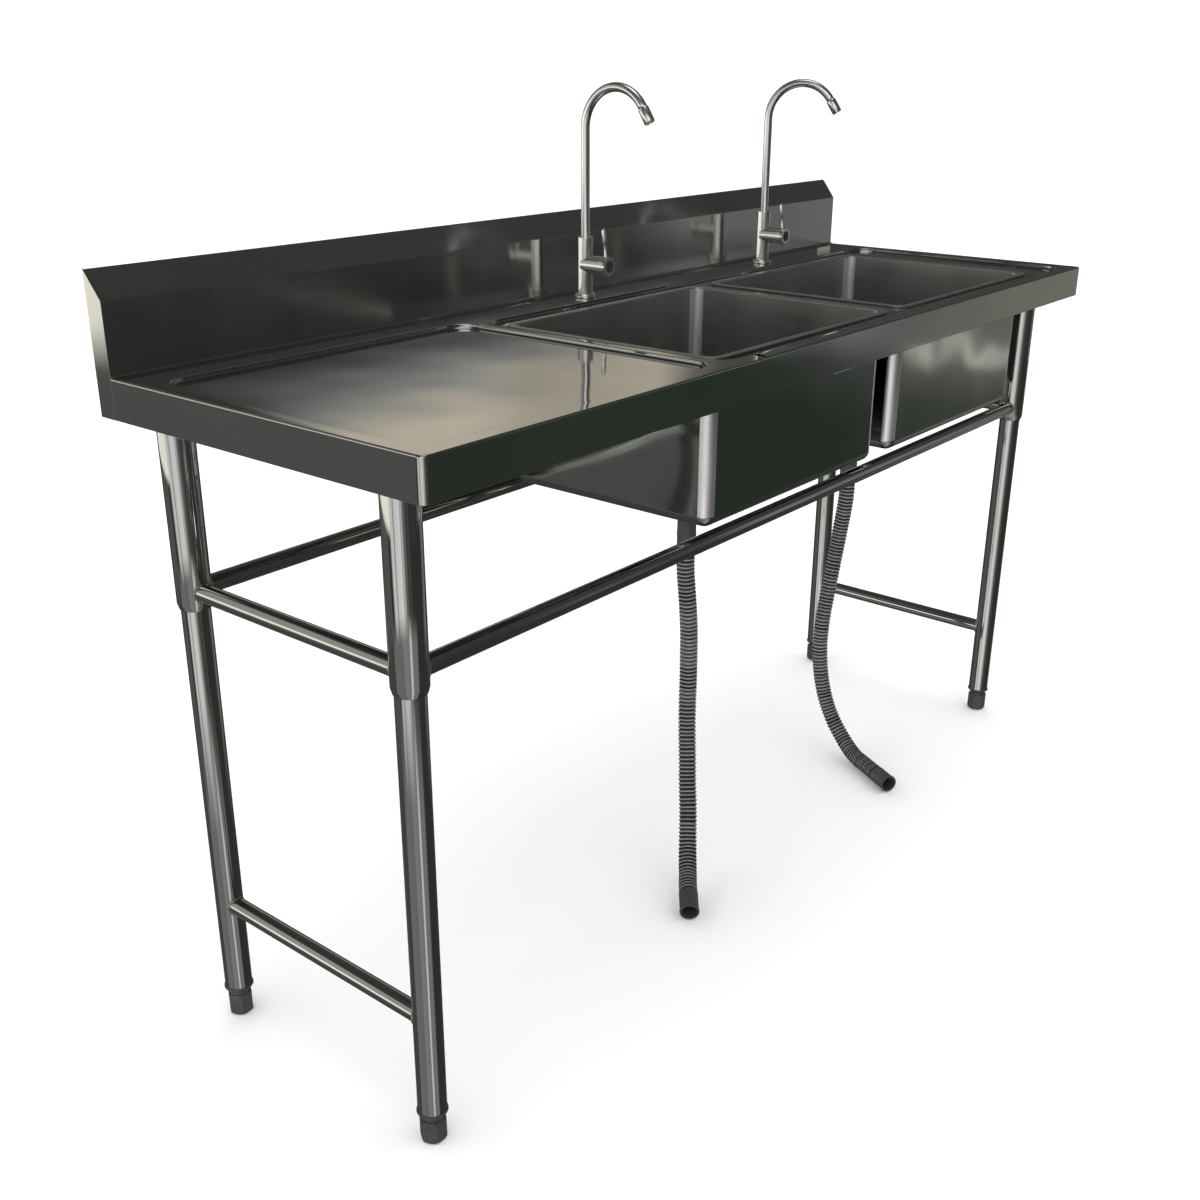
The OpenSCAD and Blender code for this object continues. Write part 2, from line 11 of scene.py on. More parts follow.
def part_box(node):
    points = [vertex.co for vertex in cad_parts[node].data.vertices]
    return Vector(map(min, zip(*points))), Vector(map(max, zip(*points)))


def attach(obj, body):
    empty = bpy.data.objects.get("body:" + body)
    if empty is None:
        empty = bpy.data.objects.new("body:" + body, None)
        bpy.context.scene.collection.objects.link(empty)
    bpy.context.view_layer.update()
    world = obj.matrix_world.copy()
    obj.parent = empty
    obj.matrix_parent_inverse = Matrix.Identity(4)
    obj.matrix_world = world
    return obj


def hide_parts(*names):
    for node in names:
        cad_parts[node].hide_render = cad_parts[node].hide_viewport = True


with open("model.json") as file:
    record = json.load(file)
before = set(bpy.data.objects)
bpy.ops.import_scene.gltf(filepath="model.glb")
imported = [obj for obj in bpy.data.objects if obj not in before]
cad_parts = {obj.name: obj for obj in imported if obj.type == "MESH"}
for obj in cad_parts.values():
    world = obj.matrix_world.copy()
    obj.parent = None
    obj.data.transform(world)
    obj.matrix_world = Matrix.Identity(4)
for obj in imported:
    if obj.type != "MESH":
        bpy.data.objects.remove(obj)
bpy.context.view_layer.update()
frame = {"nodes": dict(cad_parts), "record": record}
nodes = frame["nodes"]

# ---- Places, from the frame ---------------------------------------------

MM = 0.001
(left, front, apron_low), (right, splash_y, rim_z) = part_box("worktop")
_, (_, back, splash_top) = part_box("splashback")

SHEET = 1.5 * MM
RECESS_DEPTH = 6 * MM
RIM_WIDTH = 28 * MM
pan_z = rim_z - RECESS_DEPTH
# Where the splashback's upright face bends into its slope
splash_bend = rim_z + 98 * MM

BOWLS = ("bowl_left", "bowl_right")
SIDES = ("left", "right")
# Steps in each round corner of a sheet
CORNER_STEPS = 10
LATHE_SIDES = 48
# Degrees of fold above which an edge is drawn sharp: on sheets and turned pieces, and on tubes
SHARP_FOLD = 35
SHARP_TUBE_FOLD = 80


# ---- Camera -------------------------------------------------------------

CAMERA_PLACE = (-1.8319, -1.2918, 1.3615)
# Degrees: heading clockwise from +Y, tilt above level, roll clockwise
CAMERA_HEADING, CAMERA_TILT, CAMERA_ROLL = 50.94, -21.78, -0.24
CAMERA_LENS = 40.73
CAMERA_SENSOR = 36.0
CAMERA_SEES_TO = 200.0


def add_camera():
    """The camera stands to the left in front of the bench and looks down along it."""
    data = bpy.data.cameras.new("camera")
    data.lens = CAMERA_LENS
    data.sensor_width = CAMERA_SENSOR
    data.clip_end = CAMERA_SEES_TO
    camera = bpy.data.objects.new("camera", data)
    bpy.context.scene.collection.objects.link(camera)
    heading, tilt, roll = (math.radians(a) for a in (CAMERA_HEADING, CAMERA_TILT, CAMERA_ROLL))
    camera.matrix_world = (
        Matrix.Translation(CAMERA_PLACE)
        @ Matrix.Rotation(-heading, 4, "Z")
        @ Matrix.Rotation(math.pi / 2 + tilt, 4, "X")
        @ Matrix.Rotation(-roll, 4, "Z")
    )
    bpy.context.scene.camera = camera


# ---- Mesh helpers -------------------------------------------------------

def arc(cx, cy, r, start, end, steps=5):
    """Points on an arc, from the start angle to the end angle in degrees."""
    angles = [math.radians(start + (end - start) * i / steps) for i in range(steps + 1)]
    return [(cx + r * math.cos(a), cy + r * math.sin(a)) for a in angles]


def round_rect(x0, y0, x1, y1, r, z):
    """A ring of points around a rectangle with round corners."""
    corners = (
        (x1 - r, y0 + r, -90),
        (x1 - r, y1 - r, 0),
        (x0 + r, y1 - r, 90),
        (x0 + r, y0 + r, 180),
    )
    plan = [p for cx, cy, a in corners for p in arc(cx, cy, r, a, a + 90, CORNER_STEPS)]
    return [Vector((x, y, z)) for x, y in plan]


def circle(cx, cy, r, z, count):
    """A ring of points that pairs up with a round_rect ring of that many points."""
    angles = [math.radians(-90 + 360 * (i + 0.5) / count) for i in range(count)]
    return [Vector((cx + r * math.cos(a), cy + r * math.sin(a), z)) for a in angles]


class Skin:
    """A surface made of rings that are joined or filled."""

    def __init__(self):
        self.bm = bmesh.new()

    def ring(self, points):
        return [self.bm.verts.new(p) for p in points]

    def join(self, a, b, closed=True):
        n = len(a)
        for i in range(n if closed else n - 1):
            j = (i + 1) % n
            self.bm.faces.new((a[i], a[j], b[j], b[i]))

    def loft(self, rings, closed=True):
        made = [self.ring(r) for r in rings]
        for a, b in zip(made, made[1:]):
            self.join(a, b, closed)
        return made

    def fill(self, *rings):
        """Fills the flat space between an outer ring and the rings of its holes."""
        edges = []
        for ring in rings:
            for a, b in zip(ring, ring[1:] + ring[:1]):
                edges.append(self.bm.edges.get((a, b)) or self.bm.edges.new((a, b)))
        bmesh.ops.triangle_fill(self.bm, use_beauty=True, edges=edges)

    def solid(self, name, material, angle=SHARP_FOLD):
        """Makes the object, with its faces turned to point outwards."""
        bmesh.ops.recalc_face_normals(self.bm, faces=self.bm.faces)
        return make(name, self.bm, material, angle)

    def sheet(self, name, material):
        """Makes the object from an open sheet, whose largest flat face then points up."""
        bmesh.ops.recalc_face_normals(self.bm, faces=self.bm.faces)
        self.bm.normal_update()
        flattest = max(self.bm.faces, key=lambda f: f.calc_area() * abs(f.normal.z))
        if flattest.normal.z < 0:
            bmesh.ops.reverse_faces(self.bm, faces=self.bm.faces)
        return make(name, self.bm, material)


def make(name, bm, material, angle=SHARP_FOLD):
    """Turns a bmesh into a smooth-shaded object, with sharp edges where it folds by more."""
    mesh = bpy.data.meshes.new(name)
    bm.to_mesh(mesh)
    bm.free()
    obj = bpy.data.objects.new(name, mesh)
    bpy.context.scene.collection.objects.link(obj)
    mesh.materials.append(material)
    mesh.polygons.foreach_set("use_smooth", [True] * len(mesh.polygons))
    mesh.set_sharp_from_angle(angle=math.radians(angle))
    return obj


def thicken(obj, thickness=SHEET, offset=-1):
    """Gives a surface thickness, inwards, or evenly to both sides at offset 0."""
    mod = obj.modifiers.new("thickness", "SOLIDIFY")
    mod.thickness = thickness
    mod.offset = offset
    return obj


def even_shading(obj):
    """Keeps large flat faces flat where they meet small round ones."""
    mod = obj.modifiers.new("even shading", "WEIGHTED_NORMAL")
    mod.keep_sharp = True
    return obj


def place(obj, slot, *replaced):
    """The piece rides on the bench and stands for those CAD nodes, which it hides. The slot is
    not used.
    """
    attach(obj, "bench")
    if replaced:
        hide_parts(*replaced)
    return obj


def lathe(name, profile, material, frame_at):
    """A turned piece: the profile's (radius, height) points turned about the frame's Z axis."""
    skin = Skin()
    angles = [2 * math.pi * i / LATHE_SIDES for i in range(LATHE_SIDES)]
    made = [
        skin.ring([frame_at @ Vector((r * math.cos(a), r * math.sin(a), z)) for a in angles])
        for r, z in profile
    ]
    for a, b in zip(made, made[1:] + made[:1]):
        skin.join(a, b)
    return skin.solid(name, material)


def extrude_x(name, section, x0, x1, material, closed=True):
    """A (y, z) section drawn out along the bench, closed at its ends if the section is closed."""
    skin = Skin()
    a, b = (skin.ring([Vector((x, y, z)) for y, z in section]) for x in (x0, x1))
    skin.join(a, b, closed)
    if closed:
        skin.bm.faces.new(a)
        skin.bm.faces.new(b)
    return skin.solid(name, material)


def frame_along(origin, direction):
    """A frame at the origin with its Z axis along the direction."""
    turn = Vector((0, 0, 1)).rotation_difference(Vector(direction))
    return Matrix.Translation(origin) @ turn.to_matrix().to_4x4()


# ---- Materials ----------------------------------------------------------

# How the noises stretch along X, Y and Z: the smaller the number, the longer the grain
EVEN = (1, 1, 1)
GRAIN_LENGTHWISE = (0.06, 3, 3)
GRAIN_UPRIGHT = (2, 2, 0.06)
GRAIN_DEPTH = 0.02 * MM
# How much smudges lower and raise the roughness of steel, and wear that of plastic
STEEL_SMUDGE = (0.8, 1.25)
PLASTIC_WEAR = (0.85, 1.15)
# The part of a noise's range that a spread makes use of
NOISE_MIDDLE = (0.3, 0.7)
PLASTIC_TEXTURE = 0.05 * MM
COAT_ROUGHNESS = 0.2
SPLASH_SMEAR = 0.95
# A mix node's color sockets, which share their names with its number sockets
MIX_A, MIX_B, MIX_RESULT = 6, 7, 2


class Nodes:
    """Short-hand for building a material's node tree."""

    def __init__(self, name):
        self.material = bpy.data.materials.new(name)
        self.material.use_nodes = True
        self.tree = self.material.node_tree
        self.shader = self.tree.nodes["Principled BSDF"]

    def add(self, kind, **values):
        node = self.tree.nodes.new(kind)
        for key, value in values.items():
            if key in node.inputs:
                node.inputs[key].default_value = value
            else:
                setattr(node, key, value)
        return node

    def link(self, a, b):
        self.tree.links.new(a, b)

    def set(self, socket, value):
        """Sets a socket of the shader to a plain value."""
        self.shader.inputs[socket].default_value = value

    def feed(self, socket, value):
        """Links a node's output into a socket of the shader."""
        self.link(value, self.shader.inputs[socket])

    def noise(self, stretch, scale, detail=4.0, roughness=0.55):
        """Noise in the bench's own frame, stretched along its axes."""
        where = self.add("ShaderNodeTexCoord")
        mapping = self.add("ShaderNodeMapping", Scale=stretch)
        noise = self.add("ShaderNodeTexNoise", Scale=scale, Detail=detail, Roughness=roughness)
        self.link(where.outputs["Object"], mapping.inputs["Vector"])
        self.link(mapping.outputs["Vector"], noise.inputs["Vector"])
        return noise.outputs["Fac"]

    def spread(self, value, low, high):
        """Maps the middle of a noise onto low to high."""
        node = self.add("ShaderNodeMapRange")
        start, end = NOISE_MIDDLE
        limits = (("From Min", start), ("From Max", end), ("To Min", low), ("To Max", high))
        for key, number in limits:
            node.inputs[key].default_value = number
        self.link(value, node.inputs["Value"])
        return node.outputs["Result"]

    def two_colors(self, value, dark, light):
        """A color between dark and light, by the middle of a noise."""
        factor = self.spread(value, 0, 1)
        node = self.add("ShaderNodeMix", data_type="RGBA")
        node.inputs[MIX_A].default_value = (*dark, 1)
        node.inputs[MIX_B].default_value = (*light, 1)
        self.link(factor, node.inputs["Factor"])
        return node.outputs[MIX_RESULT]

    def bump(self, value, distance, strength=1.0, below=None):
        """A bumpy normal, on top of the one below it."""
        node = self.add("ShaderNodeBump", Distance=distance, Strength=strength)
        self.link(value, node.inputs["Height"])
        if below:
            self.link(below, node.inputs["Normal"])
        return node.outputs["Normal"]


def steel(name, dark, light, rough, grain, waviness=4 * MM):
    """Rolled stainless sheet: cloudy tone, smudged gloss, fine grain and a slight waviness."""
    m = Nodes(name)
    m.set("Metallic", 1.0)
    cloud = m.noise(EVEN, scale=3.0, detail=5.0)
    smudge = m.noise(EVEN, scale=9.0, detail=6.0, roughness=0.7)
    lines = m.noise(grain, scale=90.0, detail=3.0)
    wave = m.bump(m.noise(EVEN, scale=2.2, detail=2.0), waviness)
    m.feed("Base Color", m.two_colors(cloud, dark, light))
    m.feed("Roughness", m.spread(smudge, *(rough * part for part in STEEL_SMUDGE)))
    m.feed("Normal", m.bump(lines, GRAIN_DEPTH, strength=0.5, below=wave))
    return m


def brushed_upright(name, dark, light, rough, grain, waviness):
    """Sheet whose gloss is smeared upwards and downwards, as on the splashback."""
    m = steel(name, dark, light, rough, grain, waviness)
    m.set("Anisotropic", SPLASH_SMEAR)
    tangent = m.add("ShaderNodeTangent", direction_type="RADIAL", axis="X")
    m.feed("Tangent", tangent.outputs["Tangent"])
    return m


def plastic(name, dark, light, rough, shine=0.0):
    """Moulded plastic or rubber: fine matt texture, slight wear and perhaps a glossy skin."""
    m = Nodes(name)
    m.set("Specular IOR Level", 0.5 * (1 + shine))
    m.set("Coat Weight", shine)
    m.set("Coat Roughness", COAT_ROUGHNESS)
    cloud = m.noise(EVEN, scale=14.0, detail=5.0)
    wear = m.noise(EVEN, scale=30.0)
    texture = m.noise(EVEN, scale=120.0)
    m.feed("Base Color", m.two_colors(cloud, dark, light))
    m.feed("Roughness", m.spread(wear, *(rough * part for part in PLASTIC_WEAR)))
    m.feed("Normal", m.bump(texture, PLASTIC_TEXTURE))
    return m


# Each finish: how it is made, its darker and its lighter color, its roughness, and then for
# steel its grain and waviness, or for plastic its shine
FINISHES = {
    "worktop_steel": (
        steel, (0.42, 0.42, 0.40), (0.50, 0.50, 0.475), 0.055, GRAIN_LENGTHWISE, 2 * MM),
    "splash_steel": (
        brushed_upright, (0.43, 0.43, 0.41), (0.50, 0.50, 0.48), 0.14, GRAIN_LENGTHWISE, 2 * MM),
    "bowl_steel": (
        steel, (0.375, 0.38, 0.368), (0.44, 0.44, 0.428), 0.35, GRAIN_UPRIGHT, 3 * MM),
    "bowl_outside": (
        steel, (0.38, 0.39, 0.375), (0.46, 0.465, 0.445), 0.08, GRAIN_UPRIGHT, 8 * MM),
    # The bowls' upright corners: much lighter steel that paints a highlight on them
    "corner_steel": (
        steel, (0.90, 0.89, 0.87), (0.97, 0.96, 0.94), 0.42, GRAIN_UPRIGHT, 1 * MM),
    "tube_steel": (
        steel, (0.46, 0.46, 0.44), (0.54, 0.54, 0.52), 0.05, (3, 3, 0.1), 0.5 * MM),
    "rail_steel": (
        steel, (0.46, 0.46, 0.44), (0.54, 0.54, 0.52), 0.07, (0.1, 0.1, 3), 0.5 * MM),
    "hidden_steel": (steel, (0.30, 0.30, 0.29), (0.38, 0.38, 0.36), 0.35, EVEN),
    "chrome": (
        steel, (0.66, 0.65, 0.63), (0.76, 0.75, 0.73), 0.22, (2, 2, 0.1), 0.2 * MM),
    "weld": (steel, (0.28, 0.26, 0.22), (0.5, 0.49, 0.46), 0.4, EVEN, 1 * MM),
    "dark_plastic": (plastic, (0.035, 0.038, 0.037), (0.06, 0.063, 0.06), 0.5),
    "hose_plastic": (plastic, (0.16, 0.17, 0.172), (0.2, 0.212, 0.214), 0.2, 1.0),
    # Near black, laid in the hose's valleys as painted shade
    "hose_valley": (plastic, (0.006, 0.007, 0.007), (0.012, 0.013, 0.013), 0.6),
    "black_rubber": (plastic, (0.012, 0.012, 0.012), (0.03, 0.03, 0.03), 0.6),
    "ceramic": (plastic, (0.74, 0.73, 0.69), (0.82, 0.81, 0.77), 0.2),
}


def make_materials():
    """The materials by name."""
    return {name: maker(name, *look).material for name, (maker, *look) in FINISHES.items()}


# ---- Hoses --------------------------------------------------------------

HOSE_D = 32 * MM
HOSE_WALL = 1.2 * MM
HOSE_SIDES = 28
RIB_PITCH = 7.2 * MM
RIB_DEPTH = 2.6 * MM
# How far down a rib's side the valleys' painted shade starts
VALLEY_SHADE_FROM = 0.3 * RIB_DEPTH
STEPS_PER_SPAN = 44
ROUTES = {
    "left": (
        (-36, -24, 575), (-36, -24, 545), (-34, -26, 510), (-32, -29, 470), (-30, -31, 425),
        (-30, -32, 380), (-32, -34, 335), (-38, -38, 290), (-48, -46, 245), (-63, -59, 200),
        (-79, -72, 160), (-99, -89, 120), (-123, -107, 80), (-143, -122, 57), (-164, -138, 41),
        (-183, -152, 33), (-198, -164, 29),
    ),
    "right": (
        (518, -24, 575), (518, -24, 545), (518, -21, 510), (517, -17, 475), (513, -14, 435),
        (505, -12, 390), (495, -10, 335), (484, -9, 280), (478, -10, 225), (475, -17, 170),
        (472, -32, 118), (465, -58, 74), (453, -95, 39), (437, -130, 22), (418, -166, 20),
        (398, -203, 20),
    ),
}
# The smooth end's section, as radius and distance from where the ribs stop, in millimetres
CUFF_MOUTH = ((12.6, 1), (13.4, 0), (15.6, 0), (16.4, 1.2), (16.6, 5), (16.3, 6.5))
CUFF_OUTSIDE = ((16.3, 38), (17, 40), (17, 43.6), (16.2, 45))
CUFF_INSIDE = ((14.6, 45), (13.8, 44.2), (13.6, 40), (13.4, 20))
# The collar's section: up from its lower end, and up to its upper end, in millimetres
COLLAR_LOW = (
    (14.5, 0), (16.2, 0), (17, 1.5), (17, 8), (16.3, 10),
    (16.3, 30), (16.8, 32), (16.8, 35), (16.3, 37),
)
COLLAR_HIGH = ((16.3, -12), (17, -10), (17, -1.5), (16, 0), (15.1, 0), (15.1, -20))


def in_metres(section, above=0.0):
    """A section's points in metres, moved up by that much."""
    return [(r * MM, above + z * MM) for r, z in section]


def smooth_path(points):
    """A smooth curve through the points, as many small steps."""
    ends = [points[0] * 2 - points[1]] + points + [points[-1] * 2 - points[-2]]
    path = []
    for a, b, c, d in zip(ends, ends[1:], ends[2:], ends[3:]):
        for i in range(STEPS_PER_SPAN):
            t = i / STEPS_PER_SPAN
            path.append(0.5 * (
                2 * b
                + (c - a) * t
                + (2 * a - 5 * b + 4 * c - d) * t**2
                + (3 * b - a - 3 * c + d) * t**3
            ))
    return path + [points[-1]]


def tube_along(name, path, radius_at, material, sides):
    """A tube around the path. radius_at gives its radius at a distance along it."""
    skin = Skin()
    side = Vector((1, 0, 0))
    run = 0.0
    rings = []
    angles = [2 * math.pi * k / sides for k in range(sides)]
    for i, p in enumerate(path):
        ahead = (path[min(i + 1, len(path) - 1)] - path[max(i - 1, 0)]).normalized()
        side = (side - ahead * side.dot(ahead)).normalized()
        up = ahead.cross(side)
        if i:
            run += (p - path[i - 1]).length
        r = radius_at(run)
        rings.append([p + r * (math.cos(a) * side + math.sin(a) * up) for a in angles])
    skin.loft(rings)
    return skin.solid(name, material, SHARP_TUBE_FOLD)


def corrugation(run):
    """The hose's radius: wide round ridges with narrow valleys between them."""
    return HOSE_D / 2 - RIB_DEPTH * abs(math.cos(math.pi * run / RIB_PITCH)) ** 3


def hose_pipe(side, path, mats):
    """The ribbed pipe, with painted shade in its valleys: their own near-black material."""
    hose = tube_along(f"hose_{side}_pipe", path, corrugation, mats["hose_plastic"], HOSE_SIDES)
    hose.data.materials.append(mats["hose_valley"])
    run = 0.0
    valley_shade_slots = []
    for a, b in zip(path, path[1:]):
        run += (b - a).length
        valley_shade_slots += [int(corrugation(run) < HOSE_D / 2 - VALLEY_SHADE_FROM)] * HOSE_SIDES
    hose.data.polygons.foreach_set("material_index", valley_shade_slots)
    thicken(hose, HOSE_WALL)
    return place(hose, "hose_plastic", f"hose_{side}")


def hose_cuff(side, route, mats):
    """The smooth open end of a hose."""
    way = (route[-1] - route[-2]).normalized()
    section = in_metres(CUFF_MOUTH + CUFF_OUTSIDE + CUFF_INSIDE)
    frame_at = frame_along(route[-1], way)
    cuff = lathe(f"hose_{side}_cuff", section, mats["dark_plastic"], frame_at)
    return place(cuff, "dark_plastic", f"hose_end_{side}")


def hose_collar(side, mats):
    """The smooth collar that holds a hose's top on the waste's outlet."""
    low, high = (Vector(corner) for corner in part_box(f"hose_collar_{side}"))
    middle = (low + high) / 2
    section = in_metres(COLLAR_LOW) + in_metres(COLLAR_HIGH, above=high.z - low.z)
    frame_at = Matrix.Translation((middle.x, middle.y, low.z))
    collar = lathe(f"hose_{side}_collar", section, mats["dark_plastic"], frame_at)
    place(collar, "dark_plastic", f"hose_collar_{side}")


def add_hose(side, mats):
    """A drain hose with its two smooth ends."""
    route = [Vector(p) * MM for p in ROUTES[side]]
    path = smooth_path(route)
    hose = hose_pipe(side, path, mats)
    cuff = hose_cuff(side, route, mats)
    hose_collar(side, mats)


# ---- Sheet metal --------------------------------------------------------

WORKTOP_CORNER = 12 * MM
WORKTOP_EDGE = 2.5 * MM
HEM = 12 * MM
HEM_EDGE = 1 * MM
RECESS_CORNER = 40 * MM
# The drainboard's and the wet side's recesses end this far behind the front
DRAINBOARD_END = 505 * MM
WET_END = 482 * MM
# The wet side's recess starts this far left of the bowls, and a ridge parts it from the
# drainboard's
WET_BEFORE_BOWL = 16 * MM
RIDGE_WIDTH = 15 * MM
# How far the deck reaches in under each bowl's rim
UNDER_RIM = 2 * MM
# The raised bead starts this far right of the left bowl's edge
MARINE_EDGE_AFTER_BOWL = 52 * MM
MARINE_EDGE_RISE = 1.3 * MM
MARINE_EDGE_MARGIN = 3 * MM
MARINE_EDGE_STEPS = 12
COVE = 5 * MM
# The cove's curve stops this far before the splashback, and the cove this far before the ends
COVE_GAP = 0.2 * MM
COVE_END_GAP = 1 * MM
SPLASH_BEND = 3 * MM


def top_outline(inset, z):
    """The worktop's open outline, from its back left corner round the front to its back right."""
    r = WORKTOP_CORNER - inset
    x0, x1, y0 = left + inset, right - inset, front + inset
    plan = [(x0, splash_y)]
    plan += arc(x0 + r, y0 + r, r, 180, 270, CORNER_STEPS)
    plan += arc(x1 - r, y0 + r, r, 270, 360, CORNER_STEPS)
    plan += [(x1, splash_y)]
    return [Vector((x, y, z)) for x, y in plan]


def recess_rings(x0, y0, x1, y1):
    """Rings from the rim down a rounded step to the recess's floor."""
    lip, foot = 1.5 * MM, 3 * MM
    steps = [(inset, rim_z + dz) for inset, dz in arc(-lip, -lip, lip, 90, 0)]
    steps += [(foot + inset, pan_z + foot + dz) for inset, dz in arc(0, 0, foot, 180, 270)]
    return [round_rect(x0 + i, y0 + i, x1 - i, y1 - i, RECESS_CORNER - i, z) for i, z in steps]


def bowl_hole(bowl):
    """The deck's opening for a bowl."""
    (x0, y0, _), (x1, y1, _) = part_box(bowl)
    inset = UNDER_RIM
    return round_rect(x0 + inset, y0 + inset, x1 - inset, y1 - inset, BOWL_CORNER - inset, pan_z)


def add_worktop(mats):
    """The worktop with its turned-down apron, two recesses and openings for the bowls."""
    skin = Skin()
    profile = [(HEM, apron_low + HEM_EDGE), (HEM, apron_low)]
    profile += [(HEM_EDGE, apron_low), (0, apron_low + HEM_EDGE)]
    profile += arc(WORKTOP_EDGE, rim_z - WORKTOP_EDGE, WORKTOP_EDGE, 180, 90)
    outline = skin.loft([top_outline(i, z) for i, z in profile], closed=False)[-1]

    bowls_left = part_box("bowl_left")[0][0]
    wet_left = bowls_left - WET_BEFORE_BOWL
    x0, y0, x1 = left + RIM_WIDTH, front + RIM_WIDTH, right - RIM_WIDTH
    drainboard = skin.loft(recess_rings(x0, y0, wet_left - RIDGE_WIDTH, front + DRAINBOARD_END))
    wet_side = skin.loft(recess_rings(wet_left, y0, x1, front + WET_END))
    skin.fill(outline, drainboard[0], wet_side[0])
    skin.fill(drainboard[-1])
    skin.fill(wet_side[-1], *(skin.ring(bowl_hole(bowl)) for bowl in BOWLS))
    top = skin.sheet("worktop_sheet", mats["worktop_steel"])
    place(even_shading(thicken(top)), "worktop_steel", "worktop")

    add_marine_edge(bowls_left + MARINE_EDGE_AFTER_BOWL, mats)
    add_deck_cove(mats)


def add_marine_edge(x0, mats):
    """A shallow raised bead along the rim in front of the bowls and back along the right end."""
    width = RIM_WIDTH - 2 * MARINE_EDGE_MARGIN
    skin = Skin()
    rings = []
    for i in range(MARINE_EDGE_STEPS + 1):
        across = i / MARINE_EDGE_STEPS
        inset = MARINE_EDGE_MARGIN + width * across
        z = rim_z + MARINE_EDGE_RISE * 4 * across * (1 - across)
        from_front_right = top_outline(inset, z)[CORNER_STEPS + 2:]
        rings.append([Vector((x0, front + inset, z))] + from_front_right)
    skin.loft(rings, closed=False)
    place(skin.sheet("marine_edge", mats["worktop_steel"]), "worktop_steel")


def add_deck_cove(mats):
    """The rounded inner corner where the deck turns up into the splashback."""
    y = splash_y - COVE
    section = [(splash_y, rim_z), (y, rim_z)]
    section += arc(y, rim_z + COVE, COVE - COVE_GAP, -90, 0, steps=6)
    section += [(splash_y, rim_z + COVE)]
    x0, x1 = left + COVE_END_GAP, right - COVE_END_GAP
    cove = extrude_x("deck_cove", section, x0, x1, mats["worktop_steel"])
    place(cove, "worktop_steel")


def add_splashback(mats):
    """The upright face, sloping top and back of the splashback, as one folded sheet."""
    bend = SPLASH_BEND
    # How far below the lines where the flat faces would meet the two bends' centres lie
    front_drop, top_drop = 0.5 * bend, 1.6 * bend
    slope = math.degrees(math.atan2(splash_top - splash_bend, back - splash_y))
    section = [(splash_y, apron_low)]
    section += arc(splash_y + bend, splash_bend - front_drop, bend, 180, 90 + slope)
    section += arc(back - bend, splash_top - top_drop, bend, 90 + slope, 0)
    section += [(back, apron_low)]
    x0, x1 = left + SHEET, right - SHEET
    wall = extrude_x("splashback_sheet", section, x0, x1, mats["splash_steel"], closed=False)
    # The worktop mirrors the room behind, as in the photo, and not the splashback
    wall.visible_glossy = False
    place(even_shading(thicken(wall, offset=0)), "worktop_steel", "splashback")


BOWL_CORNER = 30 * MM
BOWL_FLANGE = 12 * MM
BOWL_DRAIN_R = 43.2 * MM
BOWL_DRAIN_BEHIND_MIDDLE = 20 * MM
BOWL_DRAIN_BELOW_FLOOR = 0.2 * MM
# The rim starts this far in from its edge and above the deck, then rolls over
RIM_START_IN, RIM_START_UP = 0.3 * MM, 0.1 * MM
RIM_ROLL = 0.6 * MM
# It turns down into the wall, and the wall's foot turns in to the floor
WALL_TURN = 2.5 * MM
WALL_FOOT = 16 * MM
SMALLEST_CORNER = 2 * MM
# The floor's rings of points lie at these parts of the way from its foot to the drain
FLOOR_RINGS = (0.3, 0.65)


def bowl_steps(bottom, top):
    """A bowl's section from rim to floor as (inset, z), and the index where its wall starts."""
    roll, turn, foot = RIM_ROLL, WALL_TURN, WALL_FOOT
    wall = BOWL_FLANGE + SHEET
    floor = bottom + SHEET
    steps = [(RIM_START_IN, pan_z + RIM_START_UP)]
    steps += [(roll + i, top - roll + z) for i, z in arc(0, 0, roll, 180, 90)]
    steps += [(wall - turn + i, top - turn + z) for i, z in arc(0, 0, turn, 90, 0)]
    first_wall = len(steps) - 1
    steps += [(wall + foot + i, floor + foot + z) for i, z in arc(0, 0, foot, 180, 270, steps=8)]
    return steps, first_wall


def paint_corner_highlights(top_ring, low_ring):
    """The wall's upright corners, between those rings, get a much lighter steel: a painted
    highlight.
    """
    for i, (a, b) in enumerate(zip(top_ring, top_ring[1:] + top_ring[:1])):
        if i % (CORNER_STEPS + 1) == CORNER_STEPS:
            continue
        for face in set(a.link_faces) & set(b.link_faces):
            if any(v in face.verts for v in low_ring):
                face.material_index = 1


def add_bowl(name, mats):
    """A pressed bowl with its rolled rim, corners with a painted highlight and the opening for
    its waste.
    """
    (x0, y0, bottom), (x1, y1, top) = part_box(name)
    steps, first_wall = bowl_steps(bottom, top)
    rings = [
        round_rect(x0 + i, y0 + i, x1 - i, y1 - i, max(BOWL_CORNER - i, SMALLEST_CORNER), z)
        for i, z in steps
    ]
    cx, cy = (x0 + x1) / 2, (y0 + y1) / 2 + BOWL_DRAIN_BEHIND_MIDDLE
    drain_z = bottom + SHEET - BOWL_DRAIN_BELOW_FLOOR
    drain = circle(cx, cy, BOWL_DRAIN_R, drain_z, len(rings[0]))
    foot = rings[-1]
    rings += [[a.lerp(b, part) for a, b in zip(foot, drain)] for part in FLOOR_RINGS]
    rings.append(drain)
    skin = Skin()
    made = skin.loft(rings)
    paint_corner_highlights(made[first_wall], made[first_wall + 1])
    bowl = skin.sheet(f"{name}_shell", mats["bowl_steel"])
    # The outside's material slots follow the inside's two: steel, then the corners' painted
    # highlight
    for slot in ("corner_steel", "bowl_outside", "corner_steel"):
        bowl.data.materials.append(mats[slot])
    thicken(bowl).modifiers["thickness"].material_offset = 2
    place(even_shading(bowl), "bowl_steel", name)


# ---- Frame and taps -----------------------------------------------------

